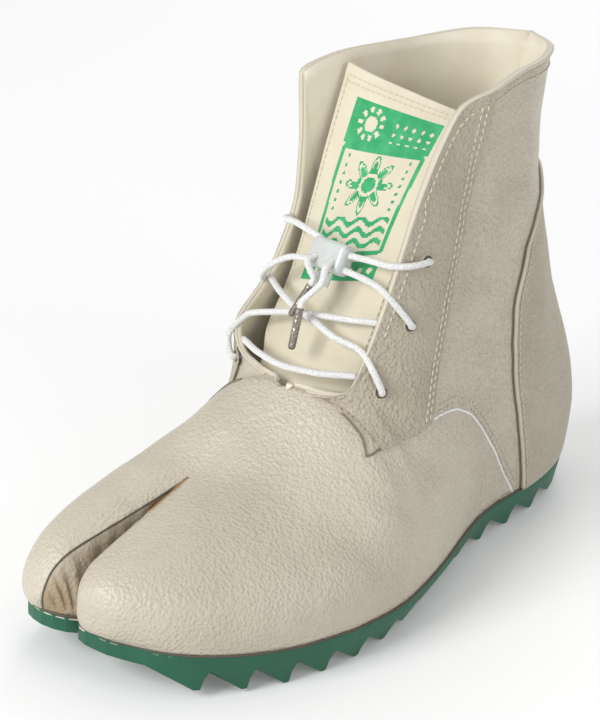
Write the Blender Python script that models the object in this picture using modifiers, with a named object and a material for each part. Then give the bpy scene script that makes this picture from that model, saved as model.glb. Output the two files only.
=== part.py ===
"""A split-toe work boot (jika tabi), left foot: outsole, insole, upper, tongue, overlays, laces.

The boot stands on the floor at z = 0 with its toe towards -Y and its outer side towards +X.
Lengths along the boot are shares of LENGTH, measured back from the toe. Lengths across it are
shares of HALF_BALL, half the ball width, and heights of the upper are shares of SHAFT_HEIGHT.
"""
import math

import bmesh
import bpy
import numpy as np
from mathutils import Vector

# Driving sizes, in metres.
LENGTH = 0.273
HALF_BALL = 0.054
SHAFT_HEIGHT = 0.195
SOLE_TOP = 0.014
TOE_SPRING = 0.0074
SPRING_LENGTH = 0.061
BAND = 0.0062
TOOTH_PITCH = 0.01768
TOOTH_GROWTH = 0.20
TOOTH_FLAT = 0.0020
TOOTH_FACE = 0.0022
FIRST_TOOTH = 0.0207
TEETH = 14
HEEL_BEVEL = 0.006
HEEL_BLOCK = 0.012
SOLE_EDGE = 0.0006
WALL = 0.0020
GAP = 0.0004
INSOLE_THICKNESS = 0.0025
INSOLE_INSET = 0.0042
TONGUE_THICKNESS = 0.0016
OVERLAY_THICKNESS = 0.0012
OVERLAY_GAP = 0.0004

# The shift that puts the middle of the boot's box over the frame's origin.
CENTRE_X = 0.0003

# The edge of the sole seen from above, from the notch between the toes to the middle of the heel.
# Columns: x as a share of HALF_BALL, t as a share of LENGTH back from the toe.
OUTER_EDGE = (
    (-0.269, 0.0256), (-0.148, 0.0055), (0.037, 0.0073), (0.231, 0.0220), (0.426, 0.0440),
    (0.611, 0.0842), (0.778, 0.1465), (0.894, 0.2070), (0.963, 0.2564), (1.015, 0.3114),
    (1.028, 0.3626), (1.013, 0.4084), (0.959, 0.4579), (0.898, 0.5018), (0.828, 0.5458),
    (0.741, 0.5934), (0.657, 0.6410), (0.583, 0.6960), (0.552, 0.7473), (0.543, 0.8022),
    (0.500, 0.8645), (0.407, 0.9267), (0.241, 0.9780), (0.000, 1.0000),
)
INNER_EDGE = (
    (-0.269, 0.0256), (-0.370, 0.0073), (-0.500, 0.0000), (-0.639, 0.0055), (-0.769, 0.0275),
    (-0.861, 0.0696), (-0.926, 0.1245), (-0.972, 0.1905), (-1.000, 0.2564), (-1.006, 0.3223),
    (-0.972, 0.4029), (-0.889, 0.4982), (-0.778, 0.5934), (-0.676, 0.6813), (-0.611, 0.7692),
    (-0.574, 0.8425), (-0.491, 0.9158), (-0.333, 0.9670), (-0.157, 0.9945), (0.000, 1.0000),
)

# How far the sole's side leans in from its top to the ground.
# Columns: t, and the lean as a share of SOLE_TOP.
SOLE_LEAN = (
    (0.00, 0.04), (0.20, 0.08), (0.36, 0.32), (0.50, 0.46), (0.62, 0.40), (0.74, 0.20),
    (0.90, 0.18), (1.00, 0.10),
)

# The ribs of the upper, from the toe's tip to the middle of the heel, one row for each rib.
# Columns: foot, the share of the sole's edge where the rib starts; x, t and z of its crest, the
# slit's edge, ridge, throat edge or collar; rise1 and out1, where its lower handle lies above
# and outside its foot; rise2 and out2, where its upper handle lies below and outside its crest.
# Rises are shares of the rib's height and outs shares of HALF_BALL.
OUTER_RIBS = (
    (0.026, -0.148, 0.005, 0.109, 0.00, 0.00, 0.00, 0.00),
    (0.057, -0.157, -0.002, 0.146, 0.40, 0.07, 0.30, 0.07),
    (0.093, -0.185, 0.005, 0.190, 0.55, 0.11, 0.00, 0.18),
    (0.133, -0.213, 0.031, 0.221, 0.66, 0.12, -0.16, 0.34),
    (0.180, -0.241, 0.077, 0.238, 0.72, 0.12, -0.24, 0.52),
    (0.244, -0.278, 0.132, 0.251, 0.74, 0.11, -0.26, 0.64),
    (0.298, -0.324, 0.194, 0.264, 0.74, 0.10, -0.26, 0.72),
    (0.356, -0.361, 0.251, 0.279, 0.72, 0.09, -0.24, 0.74),
    (0.417, -0.259, 0.322, 0.351, 0.64, 0.07, -0.08, 0.62),
    (0.473, -0.148, 0.390, 0.433, 0.60, 0.06, -0.06, 0.58),
    (0.506, 0.111, 0.401, 0.437, 0.56, 0.06, 0.00, 0.40),
    (0.538, 0.324, 0.423, 0.450, 0.50, 0.06, 0.12, 0.28),
    (0.596, 0.370, 0.484, 0.615, 0.38, 0.06, 0.26, 0.20),
    (0.651, 0.370, 0.540, 0.795, 0.32, 0.07, 0.32, 0.13),
    (0.690, 0.376, 0.586, 0.908, 0.30, 0.08, 0.34, 0.08),
    (0.716, 0.407, 0.619, 0.972, 0.30, 0.09, 0.36, 0.03),
    (0.758, 0.500, 0.670, 1.000, 0.30, 0.10, 0.36, -0.05),
    (0.819, 0.481, 0.755, 1.018, 0.30, 0.13, 0.38, -0.13),
    (0.908, 0.241, 0.864, 1.005, 0.32, 0.24, 0.48, -0.28),
    (1.000, -0.204, 0.938, 0.985, 0.35, 0.40, 0.59, -0.52),
)
INNER_RIBS = (
    (0.047, -0.500, 0.000, 0.109, 0.00, 0.00, 0.00, 0.00),
    (0.071, -0.472, -0.007, 0.146, 0.40, 0.07, 0.30, 0.07),
    (0.100, -0.454, 0.004, 0.190, 0.55, 0.11, 0.00, 0.16),
    (0.136, -0.426, 0.031, 0.221, 0.70, 0.12, -0.22, 0.28),
    (0.179, -0.398, 0.077, 0.238, 0.78, 0.12, -0.34, 0.38),
    (0.229, -0.380, 0.132, 0.251, 0.80, 0.11, -0.38, 0.46),
    (0.283, -0.370, 0.194, 0.264, 0.80, 0.11, -0.38, 0.50),
    (0.335, -0.361, 0.251, 0.279, 0.80, 0.10, -0.34, 0.54),
    (0.385, -0.259, 0.322, 0.351, 0.70, 0.09, -0.12, 0.50),
    (0.435, -0.148, 0.390, 0.433, 0.62, 0.08, -0.04, 0.48),
    (0.468, -0.389, 0.403, 0.436, 0.60, 0.08, 0.00, 0.34),
    (0.505, -0.639, 0.418, 0.446, 0.56, 0.08, 0.06, 0.22),
    (0.550, -0.806, 0.443, 0.490, 0.50, 0.08, 0.14, 0.12),
    (0.610, -0.852, 0.524, 0.572, 0.40, 0.08, 0.26, 0.06),
    (0.665, -0.880, 0.580, 0.718, 0.33, 0.07, 0.32, 0.02),
    (0.700, -0.898, 0.586, 0.851, 0.30, 0.08, 0.35, -0.02),
    (0.735, -0.912, 0.583, 0.959, 0.30, 0.08, 0.46, -0.03),
    (0.780, -0.861, 0.667, 0.985, 0.30, 0.09, 0.36, -0.08),
    (0.836, -0.778, 0.813, 0.974, 0.30, 0.13, 0.38, -0.14),
    (0.905, -0.556, 0.894, 0.983, 0.32, 0.24, 0.48, -0.28),
    (1.000, -0.204, 0.938, 0.985, 0.35, 0.40, 0.59, -0.52),
)

# The bottom of the slit between the toes, for the ribs from NOTCH_RIB to SLIT_RIB.
# Columns: x, t and how far it lies from the sole's top, 0, to the slit's edges, 1.
SLIT_BOTTOM = (
    (-0.269, 0.0256, 0.00),
    (-0.300, 0.077, 0.10),
    (-0.320, 0.132, 0.24),
    (-0.340, 0.194, 0.55),
    (-0.361, 0.251, 1.00),
)
NOTCH_RIB = 3
SLIT_RIB = 7
RIDGE_END_RIB = 9

# How many strips the mesh has between one rib and the next.
STRIPS = 3
RIB_STEPS = 11
WALL_STEPS = 4


def spline(knots, values, x):
    """A smooth curve through a table's rows that doesn't overshoot them."""
    knots = np.asarray(knots, float)
    values = np.asarray(values, float)
    steps = np.diff(knots)
    slopes = np.diff(values) / steps
    tangents = np.empty(len(knots))
    tangents[0] = slopes[0]
    tangents[-1] = slopes[-1]
    for i in range(1, len(knots) - 1):
        before, after = slopes[i - 1], slopes[i]
        if before * after <= 0:
            tangents[i] = 0.0
        else:
            weight = steps[i - 1] + 2 * steps[i], 2 * steps[i - 1] + steps[i]
            tangents[i] = sum(weight) / (weight[1] / before + weight[0] / after)
    i = int(np.clip(np.searchsorted(knots, x) - 1, 0, len(steps) - 1))
    h = steps[i]
    s = (x - knots[i]) / h
    return ((2 * s ** 3 - 3 * s ** 2 + 1) * values[i] + (s ** 3 - 2 * s ** 2 + s) * h * tangents[i]
            + (3 * s ** 2 - 2 * s ** 3) * values[i + 1] + (s ** 3 - s ** 2) * h * tangents[i + 1])


def row(table, index):
    """One row of a table, at a whole or broken row number."""
    knots = range(len(table))
    return [spline(knots, column, index) for column in zip(*table)]


CENTRE_Y = -0.0006


def to_y(t):
    return (t - 0.5) * LENGTH + CENTRE_Y


def to_x(share):
    return share * HALF_BALL - CENTRE_X


def toe_lift(y):
    """How far the toe spring lifts the sole off the ground."""
    start = to_y(0.0) + SPRING_LENGTH
    return TOE_SPRING * max(0.0, (start - y) / SPRING_LENGTH) ** 1.6


def sole_top(y):
    """Height of the outsole's top, level from the heel to the ball and rising to the toe."""
    return SOLE_TOP + toe_lift(y)


def edge_table(side):
    return OUTER_EDGE if side > 0 else INNER_EDGE


def edge_lengths(table):
    points = [Vector((to_x(x), to_y(t))) for x, t in table]
    total = [0.0]
    for a, b in zip(points, points[1:]):
        total.append(total[-1] + (b - a).length)
    return [length / total[-1] for length in total]


EDGE_LENGTHS = {1: edge_lengths(OUTER_EDGE), -1: edge_lengths(INNER_EDGE)}


def edge_point(side, share):
    """A point of the sole's edge, at a share of the way from the notch to the heel."""
    table = edge_table(side)
    knots = EDGE_LENGTHS[side]
    xs = [to_x(x) for x, t in table]
    ys = [to_y(t) for x, t in table]
    return Vector((spline(knots, xs, share), spline(knots, ys, share)))


def edge_normal(side, share):
    """The level direction that points out of the sole's edge."""
    if share > 0.9999:
        return Vector((0.0, 1.0))
    step = 0.004
    a = edge_point(side, max(0.0, share - step))
    b = edge_point(side, min(1.0, share + step))
    along = (b - a).normalized()
    return Vector((along.y, -along.x)) * side


def crest(side, index):
    """Where a rib ends: the slit's edge, the ridge, the throat's edge or the collar."""
    if SLIT_RIB <= index <= RIDGE_END_RIB:
        side = 1
    ribs = OUTER_RIBS if side > 0 else INNER_RIBS
    x, t, z = row(ribs, index)[1:4]
    point = Vector((to_x(x), to_y(t), z * SHAFT_HEIGHT))
    if index < 1:
        tip = rib_foot(side, 0)[0]
        point = tip.lerp(point, index) if index > 0 else tip
    return point


def rib_foot(side, index):
    share = row(OUTER_RIBS if side > 0 else INNER_RIBS, index)[0]
    foot = edge_point(side, share)
    return Vector((foot.x, foot.y, sole_top(foot.y) + GAP)), edge_normal(side, share)


def rib_point(side, index, v):
    """A point of the upper's outer face: v runs from 0 at the sole to 1 at the rib's crest."""
    start, normal = rib_foot(side, index)
    end = crest(side, index)
    rise1, out1, rise2, out2 = row(OUTER_RIBS if side > 0 else INNER_RIBS, index)[4:]
    height = end.z - start.z
    drift = (end.y - start.y) / 3
    out = Vector((normal.x, normal.y, 0.0)) * HALF_BALL
    lower = start + out * out1 + Vector((0, drift, rise1 * height))
    upper = end + out * out2 + Vector((0, -drift, -rise2 * height))
    w = 1 - v
    return start * w ** 3 + lower * 3 * w * w * v + upper * 3 * w * v * v + end * v ** 3


def slit_bottom(side, index):
    """The bottom of the slit, which near the tip follows the sole's edge to the notch."""
    if index < NOTCH_RIB:
        ribs = OUTER_RIBS if side > 0 else INNER_RIBS
        share = ribs[0][0] * (1 - index / NOTCH_RIB)
        point = edge_point(side, share)
        return Vector((point.x, point.y, sole_top(point.y) + GAP))
    x, t, rise = row(SLIT_BOTTOM, index - NOTCH_RIB)
    y = to_y(t)
    floor = sole_top(y) + GAP
    if index > NOTCH_RIB:
        floor += WALL * 1.5 * (1 - rise)
    edge = crest(1, index).lerp(crest(-1, index), 0.5)
    ground = Vector((to_x(x), y, floor))
    return ground.lerp(edge, rise) if rise < 1 else edge


def slit_point(side, index, v):
    """A point of the slit's wall: v runs from 0 at the slit's edge to 1 at its bottom."""
    edge = crest(side, index)
    bottom = slit_bottom(side, index)
    depth = edge.z - bottom.z
    middle = edge.lerp(bottom, 0.5)
    turn = Vector((edge.x + (bottom.x - edge.x) * 0.55, edge.y, edge.z - depth * 0.12))
    low = Vector((bottom.x + (middle.x - bottom.x) * 0.3, bottom.y, bottom.z + depth * 0.35))
    w = 1 - v
    return edge * w ** 3 + turn * 3 * w * w * v + low * 3 * w * v * v + bottom * v ** 3


def material(name, colour, roughness, metallic=0.0):
    made = bpy.data.materials.new(name)
    made.use_nodes = True
    shader = made.node_tree.nodes["Principled BSDF"]
    shader.inputs["Base Color"].default_value = (*colour, 1.0)
    shader.inputs["Roughness"].default_value = roughness
    shader.inputs["Metallic"].default_value = metallic
    return made


def collection(name):
    made = bpy.data.collections.new(name)
    bpy.context.scene.collection.children.link(made)
    return made


def object_from(bm, name, group, look=None):
    mesh = bpy.data.meshes.new(name)
    bm.to_mesh(mesh)
    bm.free()
    made = bpy.data.objects.new(name, mesh)
    group.objects.link(made)
    if look:
        mesh.materials.append(look)
    return made


def add_grid(bm, points):
    """Faces between rows of points that all have the same length."""
    rows = [[bm.verts.new(point) for point in line] for line in points]
    for line, following in zip(rows, rows[1:]):
        for a, b, c, d in zip(line, line[1:], following[1:], following):
            bm.faces.new((a, b, c, d))


def clean(bm, distance=3e-5):
    bmesh.ops.remove_doubles(bm, verts=bm.verts, dist=distance)
    bmesh.ops.dissolve_degenerate(bm, edges=bm.edges, dist=distance)


def face_outwards(bm, probe):
    """Turn a sheet's faces so that the one nearest the probe looks towards it."""
    bmesh.ops.recalc_face_normals(bm, faces=bm.faces)
    bm.normal_update()
    nearest = min(bm.faces, key=lambda face: (face.calc_center_median() - probe).length)
    if nearest.normal.dot(probe - nearest.calc_center_median()) < 0:
        bmesh.ops.reverse_faces(bm, faces=bm.faces)


def shell(target, thickness):
    solid = target.modifiers.new("Wall", "SOLIDIFY")
    solid.thickness = thickness
    solid.offset = -1.0
    return solid


def rib_numbers(first, last, strips=STRIPS):
    count = int(round((last - first) * strips))
    return [first + (last - first) * i / count for i in range(count + 1)]


def upper_sheet(bm):
    """The outer face of the whole upper, as two halves joined at slit, ridge and heel."""
    for side in (1, -1):
        last = len(OUTER_RIBS if side > 0 else INNER_RIBS) - 1
        ribs = [[rib_point(side, index, j / RIB_STEPS) for j in range(RIB_STEPS + 1)]
                for index in rib_numbers(0, last)]
        add_grid(bm, ribs)
        walls = [[slit_point(side, index, j / WALL_STEPS) for j in range(WALL_STEPS + 1)]
                 for index in rib_numbers(0, SLIT_RIB)]
        add_grid(bm, walls)
    clean(bm)
    face_outwards(bm, Vector((HALF_BALL * 3, 0.0, SOLE_TOP * 2)))


def make_upper(group, look):
    bm = bmesh.new()
    upper_sheet(bm)
    upper = object_from(bm, "upper", group, look)
    shell(upper, WALL)
    return upper


def sole_outline(offset, lean):
    """The sole's edge as one ring of points, moved out by an offset and in by its lean."""
    ring = []
    for side, shares in ((1, np.linspace(0.0, 1.0, 64)), (-1, np.linspace(1.0, 0.0, 64)[1:-1])):
        for share in shares:
            normal = edge_normal(side, share)
            if share == 0.0:
                normal = Vector((0.0, 0.0))
            point = edge_point(side, share)
            if lean:
                ts, shares_in = zip(*SOLE_LEAN)
                inward = spline(ts, shares_in, (point.y - CENTRE_Y) / LENGTH + 0.5) * SOLE_TOP * lean
                point = point - normal * inward
            ring.append(point + normal * offset)
    return ring


def block(name, rings, heights, group):
    """A block through rings of points, one ring for each height."""
    bm = bmesh.new()
    loops = [[bm.verts.new((p.x, p.y, z)) for p in ring] for ring, z in zip(rings, heights)]
    for low, high in zip(loops, loops[1:]):
        for i in range(len(low)):
            j = (i + 1) % len(low)
            bm.faces.new((low[i], low[j], high[j], high[i]))
    bm.faces.new(loops[0])
    bm.faces.new(loops[-1])
    bmesh.ops.recalc_face_normals(bm, faces=bm.faces)
    return object_from(bm, name, group)


def slab(name, profile, group, look=None):
    """A block with the given side view, wider than the boot."""
    width = HALF_BALL * 1.6
    bm = bmesh.new()
    base = bm.faces.new([bm.verts.new((-width, y, z)) for y, z in profile])
    top = bmesh.ops.extrude_face_region(bm, geom=[base])["geom"]
    moved = [item for item in top if isinstance(item, bmesh.types.BMVert)]
    bmesh.ops.translate(bm, verts=moved, vec=(2 * width, 0, 0))
    bmesh.ops.recalc_face_normals(bm, faces=bm.faces)
    return object_from(bm, name, group, look)


def trim(target, cutter):
    cut = target.modifiers.new("Outline", "BOOLEAN")
    cut.operation = "INTERSECT"
    cut.solver = "EXACT"
    cut.object = cutter
    cutter.hide_render = True
    cutter.display_type = "WIRE"


def top_line(offset, steps=24):
    """The side view of the sole's top, from past the heel to past the toe."""
    beyond = 0.01
    ys = np.linspace(to_y(1.0) + beyond, to_y(0.0) - beyond, steps + 1)
    return [(y, sole_top(y) + offset) for y in ys]


def tread_line():
    """The side view of the tread: saw teeth that fall slowly and rise steeply towards the heel."""
    line = []
    toe = to_y(0.0)
    line.append((toe - 0.01, sole_top(toe - 0.01) - BAND))
    line.append((toe + FIRST_TOOTH * 0.38, sole_top(toe + FIRST_TOOTH * 0.38) - BAND))
    y = toe + FIRST_TOOTH - TOOTH_FLAT / 2
    heel_start = to_y(1.0) - HEEL_BEVEL - HEEL_BLOCK
    for tooth in range(TEETH - 1):
        pitch = TOOTH_PITCH * (1 + TOOTH_GROWTH * (tooth / (TEETH - 2) - 0.5))
        if y + pitch > heel_start:
            break
        lift = toe_lift(y)
        root = SOLE_TOP - BAND
        back = y + TOOTH_FLAT
        line.append((y, lift))
        line.append((back, lift))
        line.append((back + TOOTH_FACE * 0.35, lift + root * 0.55))
        line.append((back + TOOTH_FACE, lift + root * 0.94))
        line.append((back + TOOTH_FACE * 1.5, toe_lift(back) + root))
        y += pitch
    line.append((y, 0.0))
    line.append((to_y(1.0) - HEEL_BEVEL, 0.0))
    line.append((to_y(1.0) + HEEL_BEVEL * 0.5, HEEL_BEVEL))
    line.append((to_y(1.0) + 0.01, SOLE_TOP - BAND * 0.4))
    return line


def make_outsole(group, cutters, look):
    sole = slab("outsole", top_line(0.0) + tread_line(), group, look)
    low = sole_outline(SOLE_EDGE, 1.0)
    high = sole_outline(SOLE_EDGE, 0.0)
    heights = (-0.01, 0.0, SOLE_TOP - BAND * 0.5, SOLE_TOP * 4)
    outline = block("sole_outline", (low, low, high, high), heights, cutters)
    trim(sole, outline)
    return sole


def insole_outline():
    """The footbed's outline: inside the wall, with a slot that leaves room for the slit."""
    slot = (NOTCH_RIB, NOTCH_RIB + 2)
    half_slot = WALL + 0.0052
    ring = []
    for side in (1, -1):
        shares = np.linspace(0.05, 1.0, 56)
        line = [edge_point(side, s) - edge_normal(side, s) * INSOLE_INSET for s in shares]
        start = slit_bottom(side, slot[0])
        end = slit_bottom(side, slot[1])
        corner = Vector((start.x + side * half_slot, line[0].y))
        line = [p for p in line if side * (p.x - corner.x) > 0 or p.y > 0]
        inner = Vector((end.x + side * half_slot * 0.9, end.y))
        path = [inner, corner] + line
        if side > 0:
            ring += path
        else:
            ring += path[::-1][1:]
    return ring


def make_insole(group, cutters, look):
    seat = GAP * 0.8
    profile = top_line(seat) + top_line(seat + INSOLE_THICKNESS)[::-1]
    insole = slab("insole", profile, group, look)
    ring = insole_outline()
    outline = block("insole_outline", (ring, ring), (0.0, SOLE_TOP * 5), cutters)
    trim(insole, outline)
    return insole


# The tongue from under the vamp to its top, one row for each step up it.
# Columns: x, t and z of its inner end, x, t and z of its outer end, and how far its middle
# stands forward of both. Heights are shares of SHAFT_HEIGHT and the last is one of HALF_BALL.
TONGUE = (
    (-0.537, 0.396, 0.354, 0.167, 0.405, 0.362, 0.074),
    (-0.574, 0.443, 0.421, 0.241, 0.449, 0.431, 0.111),
    (-0.704, 0.485, 0.472, 0.296, 0.474, 0.518, 0.102),
    (-0.750, 0.524, 0.523, 0.324, 0.498, 0.610, 0.093),
    (-0.759, 0.557, 0.605, 0.333, 0.531, 0.708, 0.074),
    (-0.769, 0.586, 0.708, 0.339, 0.571, 0.790, 0.074),
    (-0.778, 0.619, 0.836, 0.343, 0.619, 0.867, 0.056),
    (-0.778, 0.654, 0.969, 0.343, 0.667, 0.928, 0.037),
)
TONGUE_ROWS = 14
TONGUE_STEPS = 8


def tongue_point(v, across):
    """A point of the tongue's front: v runs up it and across runs from its inner edge."""
    x_in, t_in, z_in, x_out, t_out, z_out, bow = row(TONGUE, v * (len(TONGUE) - 1))
    inner = Vector((to_x(x_in), to_y(t_in), z_in * SHAFT_HEIGHT))
    outer = Vector((to_x(x_out), to_y(t_out), z_out * SHAFT_HEIGHT))
    forward = 4 * across * (1 - across) * bow * HALF_BALL
    return inner.lerp(outer, across) - Vector((0, forward, 0))


def make_tongue(group, look):
    bm = bmesh.new()
    add_grid(bm, [[tongue_point(i / TONGUE_ROWS, j / TONGUE_STEPS)
                   for j in range(TONGUE_STEPS + 1)] for i in range(TONGUE_ROWS + 1)])
    face_outwards(bm, Vector((0.0, -LENGTH, SHAFT_HEIGHT)))
    tongue = object_from(bm, "tongue", group, look)
    shell(tongue, TONGUE_THICKNESS)
    return tongue


# The outlines of the overlays in the side view. Columns: t, and z as a share of SHAFT_HEIGHT.
EYESTAY_OUTER = (
    (0.401, 0.349), (0.412, 0.382), (0.410, 0.410), (0.379, 0.431), (0.401, 0.513),
    (0.449, 0.667), (0.515, 0.872), (0.551, 1.051), (0.663, 1.051), (0.660, 0.974),
    (0.648, 0.862), (0.625, 0.726), (0.603, 0.633), (0.577, 0.537), (0.549, 0.446),
    (0.525, 0.374), (0.496, 0.363), (0.467, 0.362), (0.434, 0.356),
)
EYESTAY_INNER = (
    (0.386, 0.338), (0.394, 0.369), (0.392, 0.410), (0.368, 0.431), (0.390, 0.513),
    (0.449, 0.667), (0.515, 0.872), (0.537, 1.051), (0.670, 1.051), (0.668, 0.974),
    (0.654, 0.862), (0.628, 0.726), (0.606, 0.633), (0.581, 0.537), (0.551, 0.446),
    (0.525, 0.369), (0.493, 0.354), (0.460, 0.349), (0.423, 0.345),
)
HEEL_COUNTER = (
    (0.802, 0.051), (0.786, 0.154), (0.763, 0.264), (0.744, 0.389), (0.742, 0.501),
    (0.760, 0.576), (0.789, 0.649), (0.833, 0.703), (0.881, 0.744), (0.940, 0.769),
    (1.086, 0.779), (1.086, 0.051),
)

# Where the throat's edges lie across the boot, as shares of HALF_BALL.
THROAT_OUTER = 0.315
THROAT_INNER = -0.700

# The lace over the tongue. Columns: x as a share of HALF_BALL, t, and z as a share of SHAFT_HEIGHT.
LACE_RADIUS = 0.0013
AGLET_RADIUS = 0.00155
LOW_BAR = (
    (-0.667, 0.432, 0.462), (-0.444, 0.410, 0.467), (-0.185, 0.399, 0.469),
    (0.074, 0.410, 0.472), (0.278, 0.434, 0.474),
)
CROSS_A = (
    (-0.759, 0.451, 0.503), (-0.556, 0.456, 0.526), (-0.222, 0.452, 0.554),
    (0.074, 0.458, 0.567), (0.296, 0.473, 0.572),
)
CROSS_B = (
    (0.296, 0.452, 0.521), (0.074, 0.443, 0.536), (-0.222, 0.447, 0.558),
    (-0.519, 0.471, 0.563), (-0.759, 0.504, 0.559),
)
OUTER_LOOP = (
    (0.315, 0.495, 0.683), (0.185, 0.493, 0.682), (0.042, 0.485, 0.674), (0.034, 0.480, 0.663),
    (0.148, 0.478, 0.652), (0.306, 0.482, 0.641),
)
INNER_LOOP = (
    (-0.759, 0.527, 0.682), (-0.556, 0.509, 0.694), (-0.340, 0.491, 0.681),
    (-0.332, 0.484, 0.667), (-0.519, 0.484, 0.636), (-0.759, 0.487, 0.587),
)
END_1 = (
    (-0.226, 0.453, 0.667), (-0.181, 0.449, 0.651), (-0.138, 0.448, 0.636),
    (-0.150, 0.448, 0.627),
)
END_2 = (
    (-0.056, 0.453, 0.667), (-0.048, 0.445, 0.641), (-0.111, 0.432, 0.610),
    (-0.149, 0.426, 0.594), (-0.148, 0.424, 0.586),
)
AGLET_1 = (
    (-0.159, 0.447, 0.622), (-0.265, 0.432, 0.555),
)
AGLET_2 = (
    (-0.148, 0.4235, 0.5843), (-0.144, 0.408, 0.504),
)
LOCK_CENTRE = (-0.148, 0.485, 0.668)
LOCK_WIDTH = 0.0165
LOCK_DEPTH = 0.0085
LOCK_LENGTH = 0.0120
LOCK_BEVEL = 0.0022
PLUNGER_RADIUS = 0.0032
PLUNGER_LENGTH = 0.0055
LOCK_TILT = math.radians(28)
LACE_SIDES = 8
LACE_STEPS = 16


def rib_sheet(bm, side, first):
    """The outer face of one half of the upper, from one of its ribs to the heel."""
    last = len(OUTER_RIBS if side > 0 else INNER_RIBS) - 1
    add_grid(bm, [[rib_point(side, index, j / RIB_STEPS) for j in range(RIB_STEPS + 1)]
                  for index in rib_numbers(first, last)])


def overlay(name, sides, first, outline, limit, group, cutters, look):
    """A second layer over the upper, cut to an outline in the side view and to a limit across."""
    bm = bmesh.new()
    for side in sides:
        rib_sheet(bm, side, first)
    clean(bm)
    face_outwards(bm, Vector((HALF_BALL * 3 * sides[0], 0.0, SOLE_TOP * 2)))
    bm.normal_update()
    for vert, normal in [(vert, vert.normal.copy()) for vert in bm.verts]:
        vert.co += normal * OVERLAY_GAP
    layer = object_from(bm, name, group, look)
    shell(layer, OVERLAY_THICKNESS).offset = 1.0
    profile = [(to_y(t), z * SHAFT_HEIGHT) for t, z in outline]
    cutter = slab(name + "_outline", profile, cutters)
    if len(sides) == 1:
        for vert in cutter.data.vertices:
            if vert.co.x * sides[0] < 0:
                vert.co.x = to_x(limit)
    trim(layer, cutter)
    return layer


def lace_line(table, steps=LACE_STEPS):
    """Points along a cord that runs through a table's rows."""
    places = [row(table, i / steps * (len(table) - 1)) for i in range(steps + 1)]
    return [Vector((to_x(x), to_y(t), z * SHAFT_HEIGHT)) for x, t, z in places]


def tube(name, line, radius, group, look=None):
    """A round cord through a line of points, closed at both ends."""
    bm = bmesh.new()
    rings = []
    side = None
    for i, point in enumerate(line):
        along = (line[min(i + 1, len(line) - 1)] - line[max(i - 1, 0)]).normalized()
        if side is None:
            side = along.cross(Vector((0.0, 0.0, 1.0))).normalized()
        side = (side - along * side.dot(along)).normalized()
        other = along.cross(side)
        ring = []
        for k in range(LACE_SIDES):
            turn = 2 * math.pi * k / LACE_SIDES
            ring.append(bm.verts.new(point + (side * math.cos(turn) + other * math.sin(turn)) * radius))
        rings.append(ring)
    for low, high in zip(rings, rings[1:]):
        for k in range(LACE_SIDES):
            j = (k + 1) % LACE_SIDES
            bm.faces.new((low[k], low[j], high[j], high[k]))
    bm.faces.new(rings[0][::-1])
    bm.faces.new(rings[-1])
    bmesh.ops.recalc_face_normals(bm, faces=bm.faces)
    return object_from(bm, name, group, look)


def make_laces(group, cutters, look, metal):
    tube("lace_low_bar", lace_line(LOW_BAR), LACE_RADIUS, group, look)
    cross = tube("lace_cross", lace_line(CROSS_A), LACE_RADIUS, group, look)
    other = tube("lace_cross_strand", lace_line(CROSS_B), LACE_RADIUS, cutters)
    other.hide_render = True
    other.display_type = "WIRE"
    join = cross.modifiers.new("Crossing", "BOOLEAN")
    join.operation = "UNION"
    join.solver = "EXACT"
    join.object = other
    tube("lace_outer_loop", lace_line(OUTER_LOOP), LACE_RADIUS, group, look)
    tube("lace_inner_loop", lace_line(INNER_LOOP), LACE_RADIUS, group, look)
    tube("lace_end_1", lace_line(END_1, 10), LACE_RADIUS, group, look)
    tube("lace_end_2", lace_line(END_2, 14), LACE_RADIUS, group, look)
    tube("aglet_1", lace_line(AGLET_1, 2), AGLET_RADIUS, group, metal)
    tube("aglet_2", lace_line(AGLET_2, 2), AGLET_RADIUS, group, metal)


def make_cord_lock(group, look):
    x, t, z = LOCK_CENTRE
    centre = Vector((to_x(x), to_y(t), z * SHAFT_HEIGHT))
    down = Vector((0.0, -math.sin(LOCK_TILT), -math.cos(LOCK_TILT)))
    front = Vector((0.0, -math.cos(LOCK_TILT), math.sin(LOCK_TILT)))
    bm = bmesh.new()
    bmesh.ops.create_cube(bm, size=1.0)
    for vert in bm.verts:
        x, y, z = vert.co
        vert.co = (centre + Vector((x * LOCK_WIDTH, 0.0, 0.0)) - front * y * LOCK_DEPTH
                   - down * z * LOCK_LENGTH)
    bmesh.ops.recalc_face_normals(bm, faces=bm.faces)
    body = object_from(bm, "cord_lock_body", group, look)
    edge = body.modifiers.new("Edge", "BEVEL")
    edge.width = LOCK_BEVEL
    edge.segments = 3
    edge.limit_method = "NONE"
    start = centre + down * (LOCK_LENGTH / 2 + OVERLAY_GAP)
    line = [start, start + down * PLUNGER_LENGTH * 0.8, start + down * PLUNGER_LENGTH]
    tube("cord_lock_plunger", line, PLUNGER_RADIUS, group, look)


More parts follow.
